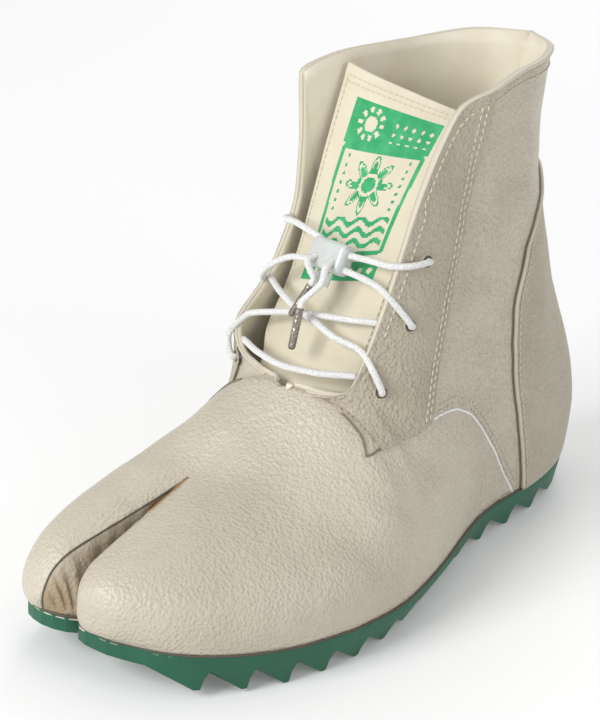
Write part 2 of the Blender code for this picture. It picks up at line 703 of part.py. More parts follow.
def main():
    for old in list(bpy.data.objects):
        bpy.data.objects.remove(old, do_unlink=True)
    parts = collection("jika_tabi")
    cutters = collection("cutters")
    leather = material("greige_leather", (0.62, 0.57, 0.49), 0.55)
    rubber = material("green_rubber", (0.02, 0.19, 0.10), 0.6)
    canvas = material("cream_canvas", (0.86, 0.80, 0.66), 0.9)
    footbed = material("footbed", (0.80, 0.74, 0.62), 0.85)
    make_outsole(parts, cutters, rubber)
    make_insole(parts, cutters, footbed)
    make_upper(parts, leather)
    make_tongue(parts, canvas)
    facing = material("facing_leather", (0.60, 0.55, 0.47), 0.6)
    overlay("eyestay_lateral", (1,), 9 + 1 / STRIPS, EYESTAY_OUTER, THROAT_OUTER, parts, cutters, facing)
    overlay("eyestay_medial", (-1,), 9, EYESTAY_INNER, THROAT_INNER, parts, cutters, facing)
    overlay("heel_counter", (1, -1), 14, HEEL_COUNTER, 0.0, parts, cutters, facing)
    cord = material("white_cord", (0.85, 0.85, 0.83), 0.85)
    metal = material("gunmetal", (0.30, 0.28, 0.26), 0.35, 1.0)
    plastic = material("milky_plastic", (0.82, 0.84, 0.84), 0.3)
    make_laces(parts, cutters, cord, metal)
    make_cord_lock(parts, plastic)


main()
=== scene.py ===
"""The look of a left split-toe work boot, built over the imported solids."""

import math

import bmesh
import bpy
import numpy as np
from mathutils import Matrix, Vector, noise
from mathutils.bvhtree import BVHTree


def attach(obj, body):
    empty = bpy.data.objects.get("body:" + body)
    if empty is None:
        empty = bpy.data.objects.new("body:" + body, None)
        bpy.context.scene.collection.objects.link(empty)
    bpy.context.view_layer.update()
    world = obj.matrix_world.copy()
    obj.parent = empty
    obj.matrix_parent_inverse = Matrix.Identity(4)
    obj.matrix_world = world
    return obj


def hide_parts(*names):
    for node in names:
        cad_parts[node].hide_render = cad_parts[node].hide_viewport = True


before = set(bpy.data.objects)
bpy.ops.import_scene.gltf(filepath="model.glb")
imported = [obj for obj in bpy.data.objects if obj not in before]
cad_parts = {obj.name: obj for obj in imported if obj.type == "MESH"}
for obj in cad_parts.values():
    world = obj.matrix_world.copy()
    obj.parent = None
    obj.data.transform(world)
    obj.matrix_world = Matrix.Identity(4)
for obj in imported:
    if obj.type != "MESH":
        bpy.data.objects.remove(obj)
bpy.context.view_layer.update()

# The boot's sizes and tables, in metres, as the solids have them.
LENGTH = 0.273
HALF_BALL = 0.054
SHAFT_HEIGHT = 0.195
SOLE_TOP = 0.014
TOE_SPRING = 0.0074
SPRING_LENGTH = 0.061
WALL = 0.0020
GAP = 0.0004
TONGUE_THICKNESS = 0.0016
CENTRE_X = 0.0003
CENTRE_Y = -0.0006

# The edge of the sole seen from above, from the notch between the toes to the middle of the heel.
# Columns: x as a share of HALF_BALL, t as a share of LENGTH back from the toe.
OUTER_EDGE = (
    (-0.269, 0.0256), (-0.148, 0.0055), (0.037, 0.0073), (0.231, 0.0220), (0.426, 0.0440),
    (0.611, 0.0842), (0.778, 0.1465), (0.894, 0.2070), (0.963, 0.2564), (1.015, 0.3114),
    (1.028, 0.3626), (1.013, 0.4084), (0.959, 0.4579), (0.898, 0.5018), (0.828, 0.5458),
    (0.741, 0.5934), (0.657, 0.6410), (0.583, 0.6960), (0.552, 0.7473), (0.543, 0.8022),
    (0.500, 0.8645), (0.407, 0.9267), (0.241, 0.9780), (0.000, 1.0000),
)
INNER_EDGE = (
    (-0.269, 0.0256), (-0.370, 0.0073), (-0.500, 0.0000), (-0.639, 0.0055), (-0.769, 0.0275),
    (-0.861, 0.0696), (-0.926, 0.1245), (-0.972, 0.1905), (-1.000, 0.2564), (-1.006, 0.3223),
    (-0.972, 0.4029), (-0.889, 0.4982), (-0.778, 0.5934), (-0.676, 0.6813), (-0.611, 0.7692),
    (-0.574, 0.8425), (-0.491, 0.9158), (-0.333, 0.9670), (-0.157, 0.9945), (0.000, 1.0000),
)

# The ribs of the upper, from the toe's tip to the middle of the heel, one row for each rib.
# Columns: foot, the share of the sole's edge where the rib starts; x, t and z of its crest, the
# slit's edge, ridge, throat edge or collar; rise1 and out1, where its lower handle lies above
# and outside its foot; rise2 and out2, where its upper handle lies below and outside its crest.
# Rises are shares of the rib's height and outs shares of HALF_BALL.
OUTER_RIBS = (
    (0.026, -0.148, 0.005, 0.109, 0.00, 0.00, 0.00, 0.00),
    (0.057, -0.157, -0.002, 0.146, 0.40, 0.07, 0.30, 0.07),
    (0.093, -0.185, 0.005, 0.190, 0.55, 0.11, 0.00, 0.18),
    (0.133, -0.213, 0.031, 0.221, 0.66, 0.12, -0.16, 0.34),
    (0.180, -0.241, 0.077, 0.238, 0.72, 0.12, -0.24, 0.52),
    (0.244, -0.278, 0.132, 0.251, 0.74, 0.11, -0.26, 0.64),
    (0.298, -0.324, 0.194, 0.264, 0.74, 0.10, -0.26, 0.72),
    (0.356, -0.361, 0.251, 0.279, 0.72, 0.09, -0.24, 0.74),
    (0.417, -0.259, 0.322, 0.351, 0.64, 0.07, -0.08, 0.62),
    (0.473, -0.148, 0.390, 0.433, 0.60, 0.06, -0.06, 0.58),
    (0.506, 0.111, 0.401, 0.437, 0.56, 0.06, 0.00, 0.40),
    (0.538, 0.324, 0.423, 0.450, 0.50, 0.06, 0.12, 0.28),
    (0.596, 0.370, 0.484, 0.615, 0.38, 0.06, 0.26, 0.20),
    (0.651, 0.370, 0.540, 0.795, 0.32, 0.07, 0.32, 0.13),
    (0.690, 0.376, 0.586, 0.908, 0.30, 0.08, 0.34, 0.08),
    (0.716, 0.407, 0.619, 0.972, 0.30, 0.09, 0.36, 0.03),
    (0.758, 0.500, 0.670, 1.000, 0.30, 0.10, 0.36, -0.05),
    (0.819, 0.481, 0.755, 1.018, 0.30, 0.13, 0.38, -0.13),
    (0.908, 0.241, 0.864, 1.005, 0.32, 0.24, 0.48, -0.28),
    (1.000, -0.204, 0.938, 0.985, 0.35, 0.40, 0.59, -0.52),
)
INNER_RIBS = (
    (0.047, -0.500, 0.000, 0.109, 0.00, 0.00, 0.00, 0.00),
    (0.071, -0.472, -0.007, 0.146, 0.40, 0.07, 0.30, 0.07),
    (0.100, -0.454, 0.004, 0.190, 0.55, 0.11, 0.00, 0.16),
    (0.136, -0.426, 0.031, 0.221, 0.70, 0.12, -0.22, 0.28),
    (0.179, -0.398, 0.077, 0.238, 0.78, 0.12, -0.34, 0.38),
    (0.229, -0.380, 0.132, 0.251, 0.80, 0.11, -0.38, 0.46),
    (0.283, -0.370, 0.194, 0.264, 0.80, 0.11, -0.38, 0.50),
    (0.335, -0.361, 0.251, 0.279, 0.80, 0.10, -0.34, 0.54),
    (0.385, -0.259, 0.322, 0.351, 0.70, 0.09, -0.12, 0.50),
    (0.435, -0.148, 0.390, 0.433, 0.62, 0.08, -0.04, 0.48),
    (0.468, -0.389, 0.403, 0.436, 0.60, 0.08, 0.00, 0.34),
    (0.505, -0.639, 0.418, 0.446, 0.56, 0.08, 0.06, 0.22),
    (0.550, -0.806, 0.443, 0.490, 0.50, 0.08, 0.14, 0.12),
    (0.610, -0.852, 0.524, 0.572, 0.40, 0.08, 0.26, 0.06),
    (0.665, -0.880, 0.580, 0.718, 0.33, 0.07, 0.32, 0.02),
    (0.700, -0.898, 0.586, 0.851, 0.30, 0.08, 0.35, -0.02),
    (0.735, -0.912, 0.583, 0.959, 0.30, 0.08, 0.46, -0.03),
    (0.780, -0.861, 0.667, 0.985, 0.30, 0.09, 0.36, -0.08),
    (0.836, -0.778, 0.813, 0.974, 0.30, 0.13, 0.38, -0.14),
    (0.905, -0.556, 0.894, 0.983, 0.32, 0.24, 0.48, -0.28),
    (1.000, -0.204, 0.938, 0.985, 0.35, 0.40, 0.59, -0.52),
)

# The bottom of the slit between the toes, for the ribs from NOTCH_RIB to SLIT_RIB.
# Columns: x, t and how far it lies from the sole's top, 0, to the slit's edges, 1.
SLIT_BOTTOM = (
    (-0.269, 0.0256, 0.00),
    (-0.300, 0.077, 0.10),
    (-0.320, 0.132, 0.24),
    (-0.340, 0.194, 0.55),
    (-0.361, 0.251, 1.00),
)
NOTCH_RIB = 3
SLIT_RIB = 7
RIDGE_END_RIB = 9


def spline(knots, values, x):
    """A smooth curve through a table's rows that doesn't overshoot them."""
    knots = np.asarray(knots, float)
    values = np.asarray(values, float)
    steps = np.diff(knots)
    slopes = np.diff(values) / steps
    tangents = np.empty(len(knots))
    tangents[0] = slopes[0]
    tangents[-1] = slopes[-1]
    for i in range(1, len(knots) - 1):
        before, after = slopes[i - 1], slopes[i]
        if before * after <= 0:
            tangents[i] = 0.0
        else:
            weight = steps[i - 1] + 2 * steps[i], 2 * steps[i - 1] + steps[i]
            tangents[i] = sum(weight) / (weight[1] / before + weight[0] / after)
    i = int(np.clip(np.searchsorted(knots, x) - 1, 0, len(steps) - 1))
    h = steps[i]
    s = (x - knots[i]) / h
    return ((2 * s ** 3 - 3 * s ** 2 + 1) * values[i] + (s ** 3 - 2 * s ** 2 + s) * h * tangents[i]
            + (3 * s ** 2 - 2 * s ** 3) * values[i + 1] + (s ** 3 - s ** 2) * h * tangents[i + 1])


def row(table, index):
    """One row of a table, at a whole or broken row number."""
    knots = range(len(table))
    return [spline(knots, column, index) for column in zip(*table)]


def to_y(t):
    return (t - 0.5) * LENGTH + CENTRE_Y


def to_x(share):
    return share * HALF_BALL - CENTRE_X


def toe_lift(y):
    """How far the toe spring lifts the sole off the ground."""
    start = to_y(0.0) + SPRING_LENGTH
    return TOE_SPRING * max(0.0, (start - y) / SPRING_LENGTH) ** 1.6


def sole_top(y):
    """Height of the outsole's top, level from the heel to the ball and rising to the toe."""
    return SOLE_TOP + toe_lift(y)


def edge_table(side):
    return OUTER_EDGE if side > 0 else INNER_EDGE


def edge_lengths(table):
    points = [Vector((to_x(x), to_y(t))) for x, t in table]
    total = [0.0]
    for a, b in zip(points, points[1:]):
        total.append(total[-1] + (b - a).length)
    return [length / total[-1] for length in total]


EDGE_LENGTHS = {1: edge_lengths(OUTER_EDGE), -1: edge_lengths(INNER_EDGE)}


def edge_point(side, share):
    """A point of the sole's edge, at a share of the way from the notch to the heel."""
    table = edge_table(side)
    knots = EDGE_LENGTHS[side]
    xs = [to_x(x) for x, t in table]
    ys = [to_y(t) for x, t in table]
    return Vector((spline(knots, xs, share), spline(knots, ys, share)))


def edge_normal(side, share):
    """The level direction that points out of the sole's edge."""
    if share > 0.9999:
        return Vector((0.0, 1.0))
    step = 0.004
    a = edge_point(side, max(0.0, share - step))
    b = edge_point(side, min(1.0, share + step))
    along = (b - a).normalized()
    return Vector((along.y, -along.x)) * side


def crest(side, index):
    """Where a rib ends: the slit's edge, the ridge, the throat's edge or the collar."""
    if SLIT_RIB <= index <= RIDGE_END_RIB:
        side = 1
    ribs = OUTER_RIBS if side > 0 else INNER_RIBS
    x, t, z = row(ribs, index)[1:4]
    point = Vector((to_x(x), to_y(t), z * SHAFT_HEIGHT))
    if index < 1:
        tip = rib_foot(side, 0)[0]
        point = tip.lerp(point, index) if index > 0 else tip
    return point


def rib_foot(side, index):
    share = row(OUTER_RIBS if side > 0 else INNER_RIBS, index)[0]
    foot = edge_point(side, share)
    return Vector((foot.x, foot.y, sole_top(foot.y) + GAP)), edge_normal(side, share)


def slit_bottom(side, index):
    """The bottom of the slit, which near the tip follows the sole's edge to the notch."""
    if index < NOTCH_RIB:
        ribs = OUTER_RIBS if side > 0 else INNER_RIBS
        share = ribs[0][0] * (1 - index / NOTCH_RIB)
        point = edge_point(side, share)
        return Vector((point.x, point.y, sole_top(point.y) + GAP))
    x, t, rise = row(SLIT_BOTTOM, index - NOTCH_RIB)
    y = to_y(t)
    floor = sole_top(y) + GAP
    if index > NOTCH_RIB:
        floor += WALL * 1.5 * (1 - rise)
    edge = crest(1, index).lerp(crest(-1, index), 0.5)
    ground = Vector((to_x(x), y, floor))
    return ground.lerp(edge, rise) if rise < 1 else edge


def slit_point(side, index, v):
    """A point of the slit's wall: v runs from 0 at the slit's edge to 1 at its bottom."""
    edge = crest(side, index)
    bottom = slit_bottom(side, index)
    depth = edge.z - bottom.z
    middle = edge.lerp(bottom, 0.5)
    turn = Vector((edge.x + (bottom.x - edge.x) * 0.55, edge.y, edge.z - depth * 0.12))
    low = Vector((bottom.x + (middle.x - bottom.x) * 0.3, bottom.y, bottom.z + depth * 0.35))
    w = 1 - v
    return edge * w ** 3 + turn * 3 * w * w * v + low * 3 * w * v * v + bottom * v ** 3


# The tongue from under the vamp to its top, one row for each step up it.
# Columns: x, t and z of its inner end, x, t and z of its outer end, and how far its middle
# stands forward of both. Heights are shares of SHAFT_HEIGHT and the last is one of HALF_BALL.
TONGUE = (
    (-0.537, 0.396, 0.354, 0.167, 0.405, 0.362, 0.074),
    (-0.574, 0.443, 0.421, 0.241, 0.449, 0.431, 0.111),
    (-0.704, 0.485, 0.472, 0.296, 0.474, 0.518, 0.102),
    (-0.750, 0.524, 0.523, 0.324, 0.498, 0.610, 0.093),
    (-0.759, 0.557, 0.605, 0.333, 0.531, 0.708, 0.074),
    (-0.769, 0.586, 0.708, 0.339, 0.571, 0.790, 0.074),
    (-0.778, 0.619, 0.836, 0.343, 0.619, 0.867, 0.056),
    (-0.778, 0.654, 0.969, 0.343, 0.667, 0.928, 0.037),
)


# The outlines of the overlays in the side view. Columns: t, and z as a share of SHAFT_HEIGHT.
EYESTAY_OUTER = (
    (0.401, 0.349), (0.412, 0.382), (0.410, 0.410), (0.379, 0.431), (0.401, 0.513),
    (0.449, 0.667), (0.515, 0.872), (0.551, 1.051), (0.663, 1.051), (0.660, 0.974),
    (0.648, 0.862), (0.625, 0.726), (0.603, 0.633), (0.577, 0.537), (0.549, 0.446),
    (0.525, 0.374), (0.496, 0.363), (0.467, 0.362), (0.434, 0.356),
)
EYESTAY_INNER = (
    (0.386, 0.338), (0.394, 0.369), (0.392, 0.410), (0.368, 0.431), (0.390, 0.513),
    (0.449, 0.667), (0.515, 0.872), (0.537, 1.051), (0.670, 1.051), (0.668, 0.974),
    (0.654, 0.862), (0.628, 0.726), (0.606, 0.633), (0.581, 0.537), (0.551, 0.446),
    (0.525, 0.369), (0.493, 0.354), (0.460, 0.349), (0.423, 0.345),
)
HEEL_COUNTER = (
    (0.802, 0.051), (0.786, 0.154), (0.763, 0.264), (0.744, 0.389), (0.742, 0.501),
    (0.760, 0.576), (0.789, 0.649), (0.833, 0.703), (0.881, 0.744), (0.940, 0.769),
    (1.086, 0.779), (1.086, 0.051),
)

# Where the throat's edges lie across the boot, as shares of HALF_BALL.
THROAT_OUTER = 0.315
THROAT_INNER = -0.700

# The lace over the tongue. Columns: x as a share of HALF_BALL, t, and z as a share of SHAFT_HEIGHT.
LACE_RADIUS = 0.0013
LACE_SIDES = 12
LOW_BAR = (
    (-0.667, 0.432, 0.462), (-0.444, 0.410, 0.467), (-0.185, 0.399, 0.469),
    (0.074, 0.410, 0.472), (0.278, 0.434, 0.474),
)
CROSS_A = (
    (-0.759, 0.451, 0.503), (-0.556, 0.456, 0.526), (-0.222, 0.452, 0.554),
    (0.074, 0.458, 0.567), (0.296, 0.473, 0.572),
)
CROSS_B = (
    (0.296, 0.452, 0.521), (0.074, 0.443, 0.536), (-0.222, 0.447, 0.558),
    (-0.519, 0.471, 0.563), (-0.759, 0.504, 0.559),
)
OUTER_LOOP = (
    (0.315, 0.495, 0.683), (0.185, 0.493, 0.682), (0.067, 0.485, 0.674), (0.059, 0.480, 0.663),
    (0.148, 0.478, 0.652), (0.306, 0.482, 0.641),
)
INNER_LOOP = (
    (-0.759, 0.527, 0.682), (-0.556, 0.509, 0.694), (-0.367, 0.491, 0.681),
    (-0.359, 0.484, 0.667), (-0.519, 0.484, 0.636), (-0.759, 0.487, 0.587),
)
END_1 = (
    (-0.226, 0.453, 0.667), (-0.181, 0.449, 0.651), (-0.138, 0.448, 0.636),
    (-0.150, 0.448, 0.627),
)
END_2 = (
    (-0.056, 0.453, 0.667), (-0.048, 0.445, 0.641), (-0.111, 0.432, 0.610),
    (-0.149, 0.426, 0.594), (-0.148, 0.424, 0.586),
)
AGLET_1 = (
    (-0.159, 0.447, 0.622), (-0.265, 0.432, 0.555),
)
AGLET_2 = (
    (-0.148, 0.4235, 0.5843), (-0.144, 0.408, 0.504),
)
LOCK_CENTRE = (-0.148, 0.485, 0.668)


def make_camera():
    """The camera, where the photo was taken from, rolled as it was and framed on the one boot."""
    turn, tip, roll = math.radians(42.87), math.radians(24.33), math.radians(-1.61)
    right = Vector((math.cos(turn), math.sin(turn), 0.0))
    up = Vector((-math.sin(turn) * math.sin(tip), math.cos(turn) * math.sin(tip), math.cos(tip)))
    back = Vector((math.sin(turn) * math.cos(tip), -math.cos(turn) * math.cos(tip), math.sin(tip)))
    across = right * math.cos(roll) - up * math.sin(roll)
    over = right * math.sin(roll) + up * math.cos(roll)
    target = Vector((-0.1022, 0.00198, 0.060))
    away = 1.097
    data = bpy.data.cameras.new("camera")
    data.sensor_fit = "VERTICAL"
    data.sensor_height = 36.0
    data.lens = 132.6
    data.shift_x = 0.196
    data.shift_y = -0.020
    made = bpy.data.objects.new("camera", data)
    place = Matrix((across, over, back)).transposed().to_4x4()
    place.translation = target + back * away
    made.matrix_world = place
    bpy.context.scene.collection.objects.link(made)
    bpy.context.scene.camera = made


make_camera()


def look(name, colour, rough, bumps=(), other=None, spread=30.0, grain=None, **values):
    """A material with layered bumps and a soft change to another colour."""
    made = bpy.data.materials.new(name)
    made.use_nodes = True
    tree = made.node_tree
    shader = tree.nodes["Principled BSDF"]
    shader.inputs["Base Color"].default_value = (*colour, 1.0)
    shader.inputs["Roughness"].default_value = rough
    for key, value in values.items():
        shader.inputs[key.replace("_", " ")].default_value = value
    coords = tree.nodes.new("ShaderNodeTexCoord")

    def texture(kind, scale):
        if kind == "cells":
            node = tree.nodes.new("ShaderNodeTexVoronoi")
            node.feature = "SMOOTH_F1"
            out = "Distance"
        elif kind == "weave":
            node = tree.nodes.new("ShaderNodeTexWave")
            node.bands_direction = "DIAGONAL"
            node.inputs["Distortion"].default_value = 0.6
            out = "Fac"
        else:
            node = tree.nodes.new("ShaderNodeTexNoise")
            node.inputs["Detail"].default_value = 4.0
            out = "Fac"
        node.inputs["Scale"].default_value = scale
        tree.links.new(coords.outputs["Object"], node.inputs["Vector"])
        return node.outputs[out]

    last = None
    for kind, scale, strength, distance in bumps:
        bump = tree.nodes.new("ShaderNodeBump")
        bump.inputs["Strength"].default_value = strength
        bump.inputs["Distance"].default_value = distance
        tree.links.new(texture(kind, scale), bump.inputs["Height"])
        if grain and kind == "cells":
            source = tree.nodes.new("ShaderNodeAttribute")
            source.attribute_name = grain
            times = tree.nodes.new("ShaderNodeMath")
            times.operation = "MULTIPLY"
            times.inputs[1].default_value = strength
            tree.links.new(source.outputs["Fac"], times.inputs[0])
            tree.links.new(times.outputs[0], bump.inputs["Strength"])
        if last:
            tree.links.new(last.outputs["Normal"], bump.inputs["Normal"])
        last = bump
    if last:
        tree.links.new(last.outputs["Normal"], shader.inputs["Normal"])
    if other:
        mix = tree.nodes.new("ShaderNodeMix")
        mix.data_type = "RGBA"
        mix.inputs[6].default_value = (*colour, 1.0)
        mix.inputs[7].default_value = (*other, 1.0)
        ramp = tree.nodes.new("ShaderNodeMapRange")
        ramp.inputs["From Min"].default_value = 0.42
        ramp.inputs["From Max"].default_value = 0.68
        tree.links.new(texture("noise", spread), ramp.inputs["Value"])
        tree.links.new(ramp.outputs["Result"], mix.inputs[0])
        tree.links.new(mix.outputs[2], shader.inputs["Base Color"])
    return made


LEATHER = look("greige_leather_grain", (0.53, 0.48, 0.385), 0.44,
               (("cells", 820.0, 0.95, 0.0011), ("noise", 500.0, 0.25, 0.0004),
                ("noise", 60.0, 0.25, 0.002)),
               other=(0.475, 0.425, 0.335), spread=26.0, grain="grain",
               Coat_Weight=0.15, Coat_Roughness=0.35)
FACING = look("facing_leather_grain", (0.43, 0.385, 0.30), 0.5,
              (("cells", 820.0, 0.9, 0.0011), ("noise", 500.0, 0.25, 0.0004)),
              other=(0.385, 0.34, 0.26), spread=30.0, Coat_Weight=0.06, Coat_Roughness=0.4)
EDGE = look("folded_edge", (0.58, 0.53, 0.43), 0.5, (("noise", 500.0, 0.3, 0.0003),))
LINING = look("cream_lining", (0.84, 0.78, 0.65), 0.92, (("weave", 900.0, 0.4, 0.0003),),
              other=(0.79, 0.72, 0.58), spread=60.0)
CANVAS = look("cream_canvas_weave", (0.78, 0.715, 0.565), 0.92,
              (("weave", 1100.0, 0.6, 0.0003), ("noise", 700.0, 0.3, 0.0003)),
              other=(0.74, 0.67, 0.52), spread=70.0)
PRINT = look("green_print", (0.035, 0.36, 0.135), 0.85, (("weave", 1100.0, 0.5, 0.0003),),
             other=(0.07, 0.46, 0.20), spread=200.0)
THREAD = look("thread", (0.60, 0.555, 0.455), 0.7)
BRIGHT = look("bright_line", (0.80, 0.82, 0.84), 0.5)
SHADOW = look("seam_shadow", (0.20, 0.17, 0.13), 0.8)
# The gusset's tan leather, made darker as painted shade for the inside of the slit.
GUSSET_SHADED = look("gusset_leather_painted_shade", (0.43, 0.375, 0.29), 0.6, (("cells", 720.0, 0.6, 0.0008),),
              other=(0.33, 0.25, 0.15), spread=60.0)
# A near-black for painted shade: the lace holes' insides, the slit's inner edge and the join of upper
# and sole.
PAINTED_SHADE = look("painted_shade_dark", (0.10, 0.085, 0.065), 0.8)
TAN = look("raw_edge", (0.40, 0.22, 0.10), 0.7)
CORD = look("white_cord_braid", (0.93, 0.93, 0.91), 0.8,
            (("weave", 1300.0, 0.6, 0.0004),),
            other=(0.72, 0.72, 0.72), spread=1300.0)
METAL = look("gunmetal_dimpled", (0.30, 0.27, 0.24), 0.34, (("cells", 900.0, 0.8, 0.0006),),
             Metallic=1.0)
PLASTIC = look("milky_plastic_clear", (0.83, 0.86, 0.86), 0.22, (("noise", 200.0, 0.1, 0.0004),),
               Transmission_Weight=0.45, IOR=1.45)
RUBBER = look("green_rubber_matte", (0.006, 0.088, 0.044), 0.5,
              (("noise", 900.0, 0.35, 0.0003), ("noise", 90.0, 0.25, 0.001)),
              other=(0.009, 0.108, 0.054), spread=40.0)
FOOTBED = look("footbed_cloth", (0.72, 0.66, 0.53), 0.9, (("weave", 900.0, 0.4, 0.0003),))


def add(name, verts, faces, looks, smooth=True):
    mesh = bpy.data.meshes.new(name)
    mesh.from_pydata([tuple(v) for v in verts], [], faces)
    for item in looks:
        mesh.materials.append(item)
    mesh.polygons.foreach_set("use_smooth", [smooth] * len(mesh.polygons))
    made = bpy.data.objects.new(name, mesh)
    bpy.context.scene.collection.objects.link(made)
    return made


def keep(obj, slot, *nodes):
    """A piece rides on the boot and may stand for nodes; its slot is not used."""
    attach(obj, "root")
    if nodes:
        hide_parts(*nodes)
    return obj


def grid(rows, verts, faces):
    """Adds rows of points that all have the same length, with the faces between them."""
    start = len(verts)
    width = len(rows[0])
    for line in rows:
        verts.extend(line)
    for i in range(len(rows) - 1):
        for j in range(width - 1):
            a = start + i * width + j
            faces.append((a, a + 1, a + width + 1, a + width))


def rib_line(side, index, steps):
    """A rib of the upper's outer face, from the sole to its crest."""
    start, normal = rib_foot(side, index)
    end = crest(side, index)
    rise1, out1, rise2, out2 = row(OUTER_RIBS if side > 0 else INNER_RIBS, index)[4:]
    height = end.z - start.z
    drift = (end.y - start.y) / 3
    out = Vector((normal.x, normal.y, 0.0)) * HALF_BALL
    lower = start + out * out1 + Vector((0, drift, rise1 * height))
    upper = end + out * out2 + Vector((0, -drift, -rise2 * height))
    line = []
    for j in range(steps + 1):
        v = j / steps
        w = 1 - v
        line.append(start * w ** 3 + lower * 3 * w * w * v + upper * 3 * w * v * v + end * v ** 3)
    return line


def last_rib(side):
    return len(OUTER_RIBS if side > 0 else INNER_RIBS) - 1


def rib_rows(side, first, strips, steps):
    last = last_rib(side)
    count = int(round((last - first) * strips))
    return [rib_line(side, first + (last - first) * i / count, steps) for i in range(count + 1)]


# Soft creases, each a trough with a low ridge beside it.
# Columns: side, y and z where it starts and ends in the side view, depth and width, all in mm.
CREASES = (
    (1, 30, 152, 64, 134, 0.9, 4.5), (1, 26, 124, 60, 112, 0.8, 4.0), (1, 34, 100, 66, 84, 0.7, 4.5),
    (1, 18, 84, 44, 72, 0.6, 3.5), (1, 52, 180, 92, 168, 0.7, 5.0), (1, 60, 156, 100, 146, 0.7, 5.0),
    (1, 70, 120, 96, 132, 0.5, 4.0), (1, -6, 66, 22, 46, 0.6, 4.0), (1, -34, 62, -8, 40, 0.6, 4.5),
    (1, 30, 50, 62, 30, 0.5, 4.0), (1, -52, 46, -30, 28, 0.4, 4.5), (1, 40, 168, 52, 140, 0.5, 5.0),
    (-1, 32, 150, 66, 136, 0.8, 4.5), (-1, 28, 120, 62, 112, 0.8, 4.0), (-1, 34, 92, 64, 82, 0.7, 4.5),
    (-1, 50, 182, 92, 170, 0.7, 5.0), (-1, -2, 64, 26, 48, 0.6, 4.0), (-1, -36, 58, -12, 40, 0.5, 4.5),
    (-1, 62, 158, 98, 148, 0.6, 5.0), (-1, -60, 44, -38, 30, 0.4, 4.0),
)
# In metres, apart from the strength and the counts.
CREASE_STRENGTH = 1.7
SEAM_GROOVE = 0.0005
PLEAT_ROWS = 112
PLEAT_DEPTH = 0.0005
WELD = 3e-5
SHORTEST = 2e-5
LAYER_THICKNESS = 0.0015
LAYER_SINK = 0.0002
HEEL_SEAM_X = -0.0113
STITCH_SIDES = 6
STITCH_INSET = 0.0036
STITCH_LIFT = 0.0002
FACING_SHADOW_RADIUS = 0.00042
ARC_SEAM_RADIUS = 0.00045
COUNTER_SHADOW_RADIUS = 0.00035
PIPING_RADIUS = 0.0008
LIP_RADIUS = 0.0004
LIP_STEPS = 80
RIM_RADIUS = 0.0004
RIM_SWELL = 0.0005
RIM_STEPS = 160
RIM_START = 12
FACING_END = 15.4
INSET_STEPS = 40
# The seam between vamp and quarter in the side view, y and z in mm.
ARC = ((6.7, 72.7), (14.0, 72.6), (23.4, 71.4), (31.0, 67.8), (38.5, 63.0), (57.0, 40.5), (66.0, 27.4),
       (74.6, 15.5))


def along_table(table, steps):
    """Points at even distances along a smooth line through a table's rows."""
    total = [0.0]
    for a, b in zip(table, table[1:]):
        total.append(total[-1] + math.dist(a, b))
    columns = list(zip(*table))
    return [tuple(spline(total, column, total[-1] * i / steps) for column in columns)
            for i in range(steps + 1)]


ARC_LINE = np.array(along_table(ARC, 120)) / 1000


def dent(point, side):
    """How far the leather stands out at a point, less than 0 in a trough."""
    y, z = point.y * 1000, point.z * 1000
    wave = noise.noise(point * 60.0)
    out = 0.0006 * noise.noise(point * 34.0) + 0.00022 * noise.noise(point * 95.0)
    for which, y0, z0, y1, z1, depth, width in CREASES:
        if which != side:
            continue
        dy, dz = y1 - y0, z1 - z0
        long = dy * dy + dz * dz
        s = ((y - y0) * dy + (z - z0) * dz) / long
        if not -0.25 < s < 1.25:
            continue
        far = ((y - y0) * dz - (z - z0) * dy) / math.sqrt(long) + wave * 2.0 - 5.0 * s * (1 - s)
        fade = max(0.0, 1 - ((s - 0.5) / 0.62) ** 2) ** 1.5
        trough = math.exp(-(far / width) ** 2)
        ridge = 0.45 * math.exp(-((far - width * 1.7) / width) ** 2)
        out += CREASE_STRENGTH * depth * fade * (ridge - trough) / 1000
    if y > 4:
        near = float(np.min(np.hypot(ARC_LINE[:, 0] - point.y, ARC_LINE[:, 1] - point.z)))
        out -= SEAM_GROOVE * math.exp(-(near / 0.0009) ** 2)
    edge = min(1.0, max(0.0, (z - 17) / 8))
    return out * edge


def welded(verts, faces, side, owners=None, flags=None):
    """One sheet from grids that share edges, its faces turned out towards a side."""
    bm = bmesh.new()
    layer = bm.verts.layers.int.new("side") if owners else None
    made = [bm.verts.new(v) for v in verts]
    for vert, owner in zip(made, owners or ()):
        vert[layer] = owner
    for face, flag in zip(faces, flags or [0] * len(faces)):
        bm.faces.new([made[i] for i in face]).material_index = flag
    bmesh.ops.remove_doubles(bm, verts=bm.verts, dist=WELD)
    bmesh.ops.dissolve_degenerate(bm, edges=bm.edges, dist=SHORTEST)
    bmesh.ops.recalc_face_normals(bm, faces=bm.faces)
    bm.normal_update()
    probe = Vector((HALF_BALL * 3 * side, 0.0, SOLE_TOP * 2))
    nearest = min(bm.faces, key=lambda face: (face.calc_center_median() - probe).length)
    if nearest.normal.dot(probe - nearest.calc_center_median()) < 0:
        bmesh.ops.reverse_faces(bm, faces=bm.faces)
        bm.normal_update()
    return bm, layer


